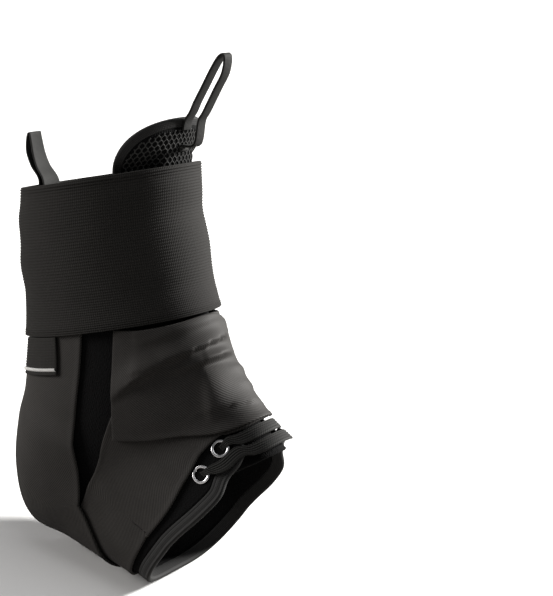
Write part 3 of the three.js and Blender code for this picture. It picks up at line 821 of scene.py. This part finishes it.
def make_boot():
    rows, columns = 120, 220
    u = np.linspace(0, 1, rows)[:, None]
    v = np.linspace(0, 1, columns)[None, :]
    end_section, end_angle = rim_at(v, TAPE_WIDTH - SEAM)
    section = BOOT_TOP + (end_section - BOOT_TOP) * u
    start = LACING_ANGLE + (360 - 2 * LACING_ANGLE) * v
    angle = start + (end_angle - start) * u
    reach = heel_distance(section, angle)
    edge_band = (reach > HEEL_CUT) & (reach < HEEL_EDGE)
    pull = np.where(edge_band, 1 / np.maximum(reach, 0.01), 1)
    section = HEEL_SECTION + (section - HEEL_SECTION) * pull
    angle = HEEL_ANGLE + (angle - HEEL_ANGLE) * pull
    points = lifted(section, angle, np.full(section.shape, BOOT_WALL))
    uv = uv_map(v * 0.28, u * 0.2)
    piece, i, j = grid_of_cloth("boot_shell", rows, columns)
    set_cloth(piece, points[i, j], uv[i, j])
    inside = (reach <= HEEL_CUT)[i, j]
    bpy.ops.object.mode_set(mode="EDIT")
    bpy.ops.mesh.select_mode(type="VERT")
    bpy.ops.mesh.select_all(action="DESELECT")
    bpy.ops.object.mode_set(mode="OBJECT")
    piece.data.vertices.foreach_set("select", inside)
    bpy.ops.object.mode_set(mode="EDIT")
    bpy.ops.mesh.delete(type="VERT")
    bpy.ops.object.mode_set(mode="OBJECT")
    merge_and_smooth(piece, 0.05 * MM)
    middle = piece.data.polygons[len(piece.data.polygons) // 2]
    centre = Vector((0, middle.center.y, middle.center.z))
    if middle.normal.dot(middle.center - centre) < 0:
        piece.data.flip_normals()
    wall = piece.modifiers.new("wall", "SOLIDIFY")
    wall.thickness = BOOT_WALL
    wall.offset = -1
    bpy.ops.object.modifier_apply(modifier=wall.name)
    return finish_piece(piece, KNIT, "knit", "boot")


boot = make_boot()

# %% [markdown]
# ## Edge tape
# The rim of the boot is bound by a woven tape, folded over the edge. Close up it shows a
# round bead on the very edge, a groove where it is stitched, and a flat band inside. All
# three come from one profile of heights across the tape.

# %% Edge tape
TAPE_PROFILE = [0.25, 0.55, 0.5, 0.05, 0.0, 0.15, 0.2, 0.15, -0.05, 0.1, 0.2, 0.1]


def make_edge_tape():
    rows = 420
    shares = np.linspace(0, 1, rows)
    run = run_along(hollow(*rim_at(shares, 0)))
    length = run[-1]
    s = edge_shares(rows, length, TAPE_WALL / 2) * length
    shares = np.interp(s, run, shares)
    inset = edge_shares(26, TAPE_WIDTH, TAPE_WALL / 2) * TAPE_WIDTH
    section, angle = rim_at(shares[:, None], inset[None, :])
    full = round_ends(inset, TAPE_WIDTH, TAPE_WALL)[None, :] * round_ends(s, length, TAPE_WALL)[:, None]
    proud = (TAPE_WALL - BOOT_WALL) / 2
    relief = between(TAPE_PROFILE, inset / TAPE_WIDTH * (len(TAPE_PROFILE) - 1)) * MM
    inside = -proud + TAPE_WALL * (1 - full) / 2
    wall = (TAPE_WALL + relief[None, :]) * full
    uv = uv_map(s[:, None], inset[None, :])
    tape = lay_band("edge_tape", section, angle, inside, wall, uv)
    finish_piece(tape, TAPE, "tape", "boot_binding")
    return tape, length


edge_tape, edge_tape_length = make_edge_tape()
print("the edge tape is", round(edge_tape_length / MM), "mm long")

# %% [markdown]
# ## The tongue
# The tongue is a spacer fabric: a dark padded ground under an open net of wavy strands.
# The ground is laid as a pillow, which stands out above the shell.

# %% Tongue
TONGUE_WIDTH = 70 * MM
TONGUE_RISE = 23 * MM
TONGUE_BULGE = 4.4 * MM
TONGUE_TAPE = 5 * MM
TONGUE_CORNER = 2.8
TONGUE_SHOULDER = CUFF_TOP + 0.1
TONGUE_APEX = float(walk(CUFF_TOP, 0.0, -along_section(CUFF_TOP, 0.0), TONGUE_RISE)[0])
TONGUE_END = [9.30, 9.28, 9.22, 9.12]
TONGUE_END_STEP = 13        # degrees between the rows of TONGUE_END
TONGUE_LENGTH = 200 * MM
TONGUE_TAPE_LENGTH = 140 * MM
TONGUE_TAPE_LEG = 0.18      # share of the tape that runs down each side


def tongue_half(section, inset):
    """Half the tongue's width as an angle, at a section."""
    return girth(section, TONGUE_WIDTH / 2 - inset)


def tongue_top(turned, inset):
    apex = down(TONGUE_APEX, 0.0, inset)
    rise = (1 - np.abs(turned)**TONGUE_CORNER)**(1 / TONGUE_CORNER)
    return TONGUE_SHOULDER - (TONGUE_SHOULDER - apex) * rise


def bulge(section, angle):
    """How far the tongue stands out above the shell and between its lacing edges."""
    top = 1 - smooth_step(section, CUFF_TOP - 0.3, CUFF_TOP + 0.05)
    slot = 1 - smooth_step(np.abs(angle), LACING_ANGLE - 15, LACING_ANGLE - 4)
    return TONGUE_BULGE * np.maximum(top, slot * (1 - smooth_step(section, 1.9, 3.0)))


def make_tongue():
    inset = TONGUE_TAPE - 2 * SEAM
    v = edge_shares(60, TONGUE_WIDTH, TONGUE_WALL / 2)
    turned = np.sin((v - 0.5) * np.pi)
    u = edge_shares(160, TONGUE_LENGTH, TONGUE_WALL / 2)**1.2
    top = tongue_top(turned, inset)
    end_angle = np.abs(turned) * tongue_half(9.0, inset)
    end = between(TONGUE_END, end_angle / TONGUE_END_STEP)
    section = top[None, :] + (end - top)[None, :] * u[:, None]
    angle = turned[None, :] * tongue_half(section, inset)
    across = (1 - np.abs(turned)) * TONGUE_WIDTH / 2
    full = rounding(across, TONGUE_WALL / 2)[None, :]
    full = full * round_ends(u * TONGUE_LENGTH, TONGUE_LENGTH, TONGUE_WALL)[:, None]
    inside = TONGUE_OUTSIDE + bulge(section, angle) - TONGUE_WALL * (1 + full) / 2
    uv = uv_map(turned[None, :] * 0.03, u[:, None] * TONGUE_LENGTH)
    tongue = lay_band("tongue_ground", section, angle, inside, TONGUE_WALL * full, uv)
    return finish_piece(tongue, KNIT, "mesh", "tongue")


tongue = make_tongue()

# %% [markdown]
# The net is real geometry. Its cells are six-sided rings: two strands that part and meet
# again. So the whole net is a row of wavy strands that touch their neighbours, each laid
# down the tongue and given an oval section. Closed tubes like these are joined into one
# piece, and the stitches further down are made in the same way.

# %% Net over the tongue
CELL_WIDTH = 2.9 * MM
CELL_HEIGHT = 4.6 * MM
STRAND_WIDTH = 0.72 * MM
STRAND_HEIGHT = 0.6 * MM
NET_DEPTH = 44 * MM         # from the top of the tongue down, as far as it can be seen


def make_net():
    """The rings of points round each strand, and their places in the UV map."""
    inset = TONGUE_TAPE - SEAM
    half_width = TONGUE_WIDTH / 2 - inset
    strands = int(2 * half_width / (CELL_WIDTH / 2)) + 1
    rows = int(NET_DEPTH / (CELL_HEIGHT / 8)) + 1
    run = np.linspace(0, NET_DEPTH, rows)
    around = np.linspace(0, 2 * np.pi, 7)[:-1]
    net_points, net_uv = [], []
    for k in range(strands):
        base = -half_width + k * CELL_WIDTH / 2
        sway = CELL_WIDTH / 4.4 * np.clip(1.5 * np.cos(2 * np.pi * run / CELL_HEIGHT + np.pi * k), -1, 1)
        across = base + sway
        turned = np.clip(across / half_width, -0.999, 0.999)
        top = tongue_top(turned, inset)
        section = down(np.full(rows, TONGUE_APEX), 0.0, run + 1e-6)
        angle = np.sign(across) * girth(section, np.abs(across))
        shown = section > top + 0.03
        if shown.sum() < 8:
            continue
        section, angle, across, along = section[shown], angle[shown], across[shown], run[shown]
        height = TONGUE_OUTSIDE + bulge(section, angle)
        centre = lifted(section, angle, height)
        normal = outward(section, angle)
        ahead = unit(np.gradient(centre, axis=0))
        side = unit(np.cross(ahead, normal))
        ring = (centre[:, None] + side[:, None] * (np.cos(around) * STRAND_WIDTH / 2)[None, :, None]
                + normal[:, None] * (np.sin(around) * STRAND_HEIGHT / 2 + 0.1 * MM)[None, :, None])
        net_points.append(ring)
        net_uv.append(uv_map(across[:, None], along[:, None] + 0 * around))
    return net_points, net_uv


def join_tubes(name, tubes, uvs):
    """Closed tubes, each from a grid whose rows are rings, joined into one piece."""
    parts = []
    for index, (ring, uv) in enumerate(zip(tubes, uvs)):
        closed = np.concatenate([ring, ring[:, :1]], axis=1)
        closed_uv = np.concatenate([uv, uv[:, :1]], axis=1)
        part, i, j = grid_of_cloth(f"{name}_{index}", closed.shape[0], closed.shape[1])
        set_cloth(part, closed[i, j], closed_uv[i, j])
        parts.append(part)
    deselect()
    for part in parts:
        part.select_set(True)
    bpy.context.view_layer.objects.active = parts[0]
    bpy.ops.object.join()
    piece = bpy.context.object
    piece.name = name
    return merge_and_smooth(piece, 0.001 * MM, close_holes=12)


net = finish_piece(join_tubes("tongue_net", *make_net()), NET, "mesh")

# %% Tongue tape
def make_tongue_tape():
    u = edge_shares(200, TONGUE_TAPE_LENGTH, TONGUE_WALL / 2)
    inset = edge_shares(14, TONGUE_TAPE, TONGUE_WALL / 2) * TONGUE_TAPE
    leg = np.maximum(0, 1 - np.minimum(u, 1 - u) / TONGUE_TAPE_LEG)
    swing = np.clip((u - TONGUE_TAPE_LEG) / (1 - 2 * TONGUE_TAPE_LEG), 0, 1)
    turned = -np.cos(swing * np.pi)[:, None]
    section = tongue_top(turned, inset[None, :]) + 0.9 * leg[:, None]
    angle = turned * tongue_half(section, inset[None, :])
    s = u * TONGUE_TAPE_LENGTH
    thick = TONGUE_WALL + LAYER_GAP
    full = round_ends(inset, TONGUE_TAPE, thick)[None, :]
    full = full * round_ends(s, TONGUE_TAPE_LENGTH, thick)[:, None]
    inside = TONGUE_OUTSIDE + bulge(section, angle) - thick * (1 + full) / 2
    uv = uv_map(s[:, None], inset[None, :])
    tape = lay_band("tongue_tape", section, angle, inside, thick * full, uv)
    return finish_piece(tape, TAPE, "tape", "tongue_binding")


tongue_tape = make_tongue_tape()

# %% [markdown]
# ## Pull loops
# Two ribbons help to pull the brace on: a long one on the tongue and a short one at the
# back. Each is a ribbon bent over itself and sewn down at both ends.

# %% Pull loops
PULL_WIDTH, PULL_WALL, PULL_REACH = 7 * MM, 1.1 * MM, 36 * MM
HEEL_PULL_WIDTH, HEEL_PULL_WALL, HEEL_PULL_REACH = 15 * MM, 1.0 * MM, 21 * MM
LOOP_SEAT = 20 * MM
TONGUE_PULL = [(0.33, -0.31), (0.34, 0.01), (0.39, 0.14), (0.51, 0.49), (0.58, 0.69), (0.59, 0.85),
               (0.56, 0.95), (0.49, 0.91), (0.41, 0.74), (0.31, 0.46), (0.23, 0.24), (0.19, 0.10)]
HEEL_PULL = [(0.15, 0.05), (0.46, 0.32), (0.68, 0.62), (0.74, 0.95), (0.70, 1.10), (0.63, 0.96),
             (0.48, 0.62), (0.30, 0.34), (0.02, 0.06)]
HEEL_PULL_PINCH = 0.4


def in_plane(section, angle, height):
    point = lifted(section, angle, height)
    return float(point[1]), float(point[2])


def make_tongue_loop():
    seat = TONGUE_OUTSIDE + TONGUE_BULGE + LAYER_GAP + PULL_WALL / 2
    edge = in_plane(TONGUE_APEX, 0.0, 0.0)
    seats = [in_plane(down(TONGUE_APEX, 0.0, LOOP_SEAT * share), 0.0, seat)
             for share in (0.84, 0.7, 0.05, 0.3)]
    path = seats[:2]
    path += [(edge[0] - out * PULL_REACH, edge[1] + rise * PULL_REACH) for out, rise in TONGUE_PULL]
    path += seats[2:]
    loop = lay_ribbon("tongue_pull", path, PULL_WIDTH, PULL_WALL, -ANKLE_WIDTH / 2)
    return finish_piece(loop, WEBBING, "webbing", "tongue_loop")


def make_back_loop():
    outer = BOOT_WALL + LAYER_GAP + HEEL_PULL_WALL / 2
    inner = -LAYER_GAP - HEEL_PULL_WALL / 2
    up_section = walk(BOOT_TOP, 180.0, -along_section(BOOT_TOP, 180.0), LOOP_SEAT * 0.4)[0]
    edge = in_plane(up_section, 180.0, 0.0)
    seats = [down(BOOT_TOP, 180.0, LOOP_SEAT * share) for share in (0.6, 0.1)]
    path = [in_plane(section, 180.0, outer) for section in seats]
    path += [(edge[0] + out * HEEL_PULL_REACH, edge[1] + rise * HEEL_PULL_REACH) for out, rise in HEEL_PULL]
    path += [in_plane(section, 180.0, inner) for section in reversed(seats)]
    loop = lay_ribbon("heel_pull", path, HEEL_PULL_WIDTH, HEEL_PULL_WALL, ANKLE_WIDTH / 2,
                      pinch=HEEL_PULL_PINCH, across=15)
    return finish_piece(loop, WEBBING, "webbing", "back_loop")


tongue_pull = make_tongue_loop()
heel_pull = make_back_loop()

# %% [markdown]
# ## Back tab
# A short piece of ribbed elastic hangs from the cuff over the end of the outer strap. A
# bar of white thread holds it down.

# %% Back tab
TAB_WIDTH, TAB_LENGTH, TAB_ANGLE = 26 * MM, 19 * MM, 119.0
TAB_START = float(down(CUFF_TOP, TAB_ANGLE, CUFF_HEIGHT))
TAB_SIDE = walk(TAB_START, TAB_ANGLE, along_angle(TAB_START, TAB_ANGLE), TAB_WIDTH / 2)[1]
TAB_HALF = float(TAB_SIDE) - TAB_ANGLE


def make_tab():
    a = edge_shares(40, TAB_WIDTH, STRAP_WALL / 2)
    d = edge_shares(50, TAB_LENGTH, STRAP_WALL / 2) * TAB_LENGTH
    angle = np.broadcast_to(TAB_ANGLE + TAB_HALF * (2 * a - 1), (len(d), len(a)))
    low = down(np.full(len(a), CUFF_TOP), angle[0], CUFF_HEIGHT)
    section = down(np.broadcast_to(low, angle.shape), angle, SEAM + d[:, None])
    full = round_ends(a * TAB_WIDTH, TAB_WIDTH, STRAP_WALL)[None, :]
    full = full * round_ends(d, TAB_LENGTH, STRAP_WALL)[:, None]
    ribs = RIB_DEPTH * np.cos(2 * np.pi * d / RIB_PITCH)[:, None]
    inside = CUFF_INSIDE + STRAP_WALL * (1 - full) / 2
    uv = uv_map(a[None, :] * TAB_WIDTH, d[:, None])
    tab = lay_band("back_tab_elastic", section, angle, inside, (STRAP_WALL + ribs) * full, uv)
    return finish_piece(tab, ELASTIC, "elastic", "back_tab")


tab = make_tab()

# %% [markdown]
# ## Stitches
# The bar of white thread on the tab is a row of stitches. A stitch is a tube that rises
# out of the cloth, runs a little way at a slant and goes back in.

# %% Stitches
BAR_INSET = 2.6 * MM        # from the end of the tab
STITCH_RADIUS = 0.42 * MM
STITCH_LENGTH = 0.75 * MM
STITCH_SLANT = 0.8 * MM
STITCH_POINTS = 7


def stitch_row(places, height):
    """Tubes for a row of stitches along a path of (section, angle) places."""
    fine = np.linspace(0, len(places) - 1, 400)
    section, angle = between(places[:, 0], fine), between(places[:, 1], fine)
    run = run_along(lifted(section, angle, np.full(len(fine), height)))
    around = np.linspace(0, 2 * np.pi, 7)[:-1]
    arch = np.sin(np.linspace(0, np.pi, STITCH_POINTS))
    tubes, uvs = [], []
    start = 0.0
    while start + STITCH_LENGTH <= run[-1]:
        s = np.linspace(start, start + STITCH_LENGTH, STITCH_POINTS)
        at = np.interp(s, run, fine)
        sec, ang = between(places[:, 0], at), between(places[:, 1], at)
        normal = outward(sec, ang)
        centre = lifted(sec, ang, height + STITCH_RADIUS * (1.6 * arch - 0.9))
        ahead = unit(np.gradient(centre, axis=0))
        side = unit(np.cross(ahead, normal))
        centre = centre + side * np.linspace(-STITCH_SLANT, STITCH_SLANT, STITCH_POINTS)[:, None]
        up = np.cross(side, ahead)
        thick = STITCH_RADIUS * (0.5 + 0.5 * arch)[:, None, None]
        ring = centre[:, None] + thick * (side[:, None] * np.cos(around)[None, :, None]
                                          + up[:, None] * np.sin(around)[None, :, None])
        tubes.append(ring)
        uvs.append(uv_map(s[:, None], around * STITCH_RADIUS))
        start += STITCH_LENGTH
    return tubes, uvs


def across_tab(drop):
    """Places from side to side of the tab, at a length below the cuff."""
    half = TAB_HALF * 0.98
    angle = np.linspace(TAB_ANGLE + half, TAB_ANGLE - half, 7)
    low = down(np.full(7, CUFF_TOP), angle, CUFF_HEIGHT)
    return np.stack([down(low, angle, drop), angle], axis=1)


bar = stitch_row(across_tab(TAB_LENGTH - BAR_INSET), CUFF_INSIDE + STRAP_WALL + 0.25 * MM)
bar_tack = finish_piece(join_tubes("white_bar_tack", *bar), WHITE_THREAD, "webbing")
print("stitches in the bar:", len(bar[0]))

# %% [markdown]
# ## Eyelets
# Each eyelet is a pressed ring of thin plated metal, rolled over at the rim. Its section
# is a small circle, pulled into the shape of the roll and the barrel and then spun.

# %% Eyelets
EYELET_RADIUS, EYELET_BORE, EYELET_FLANGE, EYELET_FIT = 4.5 * MM, 3.1 * MM, 0.5 * MM, 0.3 * MM
EYELET_FLATNESS = 0.55
EYELET_BARREL = 2.2 * MM


def mirrored(place):
    return place[0], -place[1]


EYELETS = [mirrored(below_strap(step, EYELET_RADIUS + EYELET_FIT)) for step in (7.79, 6.62)]


def make_eyelet(name, node, section, angle):
    roll = (EYELET_RADIUS - EYELET_BORE) / 2
    deselect()
    bpy.ops.mesh.primitive_circle_add(vertices=14, radius=roll, rotation=(math.pi / 2, 0, 0),
                                      location=((EYELET_RADIUS + EYELET_BORE) / 2, 0, 0))
    ring = bpy.context.object
    ring.name = name
    bpy.ops.object.transform_apply(location=True, rotation=True, scale=True)
    for vertex in ring.data.vertices:
        inward = (EYELET_RADIUS - vertex.co.x) / (2 * roll)
        vertex.co.z *= EYELET_FLATNESS
        if vertex.co.z < 0 and inward > 0.5:
            vertex.co.z -= EYELET_BARREL * (inward * 2 - 1)**0.5
    bpy.ops.object.mode_set(mode="EDIT")
    bpy.ops.mesh.select_all(action="SELECT")
    bpy.ops.mesh.spin(steps=48, angle=2 * math.pi, center=(0, 0, 0), axis=(0, 0, 1))
    bpy.ops.mesh.select_all(action="SELECT")
    bpy.ops.mesh.remove_doubles(threshold=0.01 * MM)
    bpy.ops.mesh.normals_make_consistent(inside=False)
    bpy.ops.object.mode_set(mode="OBJECT")
    n = Vector(outward(section, angle))
    seat = Vector(lifted(section, angle, BOOT_WALL + EYELET_FIT + EYELET_FLANGE / 2))
    ring.data.transform(Matrix.Translation(seat) @ n.to_track_quat("Z", "Y").to_matrix().to_4x4())
    bpy.ops.object.shade_smooth()
    return finish_piece(ring, METAL, "metal", node)


for side_name, side in (("outer", 1), ("inner", -1)):
    for label, (section, angle) in zip(("low", "high"), EYELETS):
        place = f"{side_name}_{label}"
        make_eyelet(f"ring_{place}", f"eyelet_{place}", float(section), float(angle) * side)

# %% [markdown]
# ## Laces
# Two flat laces cross the tongue. Each one dips into the eyelet at its ends, where it
# gathers into a narrow bundle.

# %% Laces
LACE_WIDTH, LACE_WALL, LACE_CLEAR = 6.4 * MM, 1.1 * MM, 1.3 * MM
LACE_DIP = 2.4 * MM         # how far an end goes down into its eyelet
LACE_RIDGE = 0.18 * MM
LACE_RIDGES = 5
LACE_INSIDE = BOOT_WALL + 2 * EYELET_FIT + EYELET_FLANGE + LAYER_GAP


def lace_route(eyelet, steps, drop):
    inner = [below_strap(step, drop) for step in steps]
    outer = [mirrored(place) for place in inner]
    return np.array([eyelet, *outer, *inner[::-1], mirrored(eyelet)], float)


def make_lace(name, node, route):
    rows = 160
    fine = np.linspace(0, len(route) - 1, 500)
    centre = hollow(between(route[:, 0], fine), between(route[:, 1], fine))
    run = run_along(centre)
    s = edge_shares(rows, run[-1], LACE_WALL / 2) * run[-1]
    step = np.interp(s, run, fine)
    section, angle = between(route[:, 0], step)[:, None], between(route[:, 1], step)[:, None]
    a = edge_shares(22, LACE_WIDTH, LACE_WALL / 2)[None, :]
    end = np.minimum(s, run[-1] - s)[:, None]
    gather = 0.5 + 0.5 * smooth_step(end, 1.5 * MM, 9 * MM)
    offset = (a - 0.5) * LACE_WIDTH * gather
    turn = along_section(*np.broadcast_arrays(section, angle)) * np.ones(offset.shape)[..., None]
    sign = np.where(offset < 0, -1.0, 1.0)
    section, angle = walk(section + 0 * offset, angle + 0 * offset, turn * sign[..., None], np.abs(offset))
    full = rounding((0.5 - np.abs(a - 0.5)) * LACE_WIDTH, LACE_WALL / 2) * rounding(end, LACE_WALL / 2)
    dip = -LACE_DIP * (1 - smooth_step(end, 0.5 * MM, 4.5 * MM))
    ridges = LACE_RIDGE * np.cos(2 * np.pi * a * LACE_RIDGES)
    inside = LACE_INSIDE + dip + LACE_WALL * (1 - full) / 2
    uv = uv_map(s[:, None], offset)
    lace = lay_band(name, section, angle, inside, (LACE_WALL + ridges) * full, uv)
    finish_piece(lace, LACE, "lace", node)
    return lace, run[-1]


UPPER_DROP = LACE_WIDTH / 2 + LACE_CLEAR
LOWER_DROP = UPPER_DROP + LACE_WIDTH + LACE_CLEAR
lower_lace, lower_lace_length = make_lace(
    "lower_lace", "lace_lower", lace_route(EYELETS[0], (7.0, 6.1, 5.2), LOWER_DROP))
upper_lace, upper_lace_length = make_lace(
    "upper_lace", "lace_upper", lace_route(EYELETS[1], (6.0, 5.25), UPPER_DROP))
print("laces:", round(lower_lace_length / MM), "and", round(upper_lace_length / MM), "mm from ring to ring")
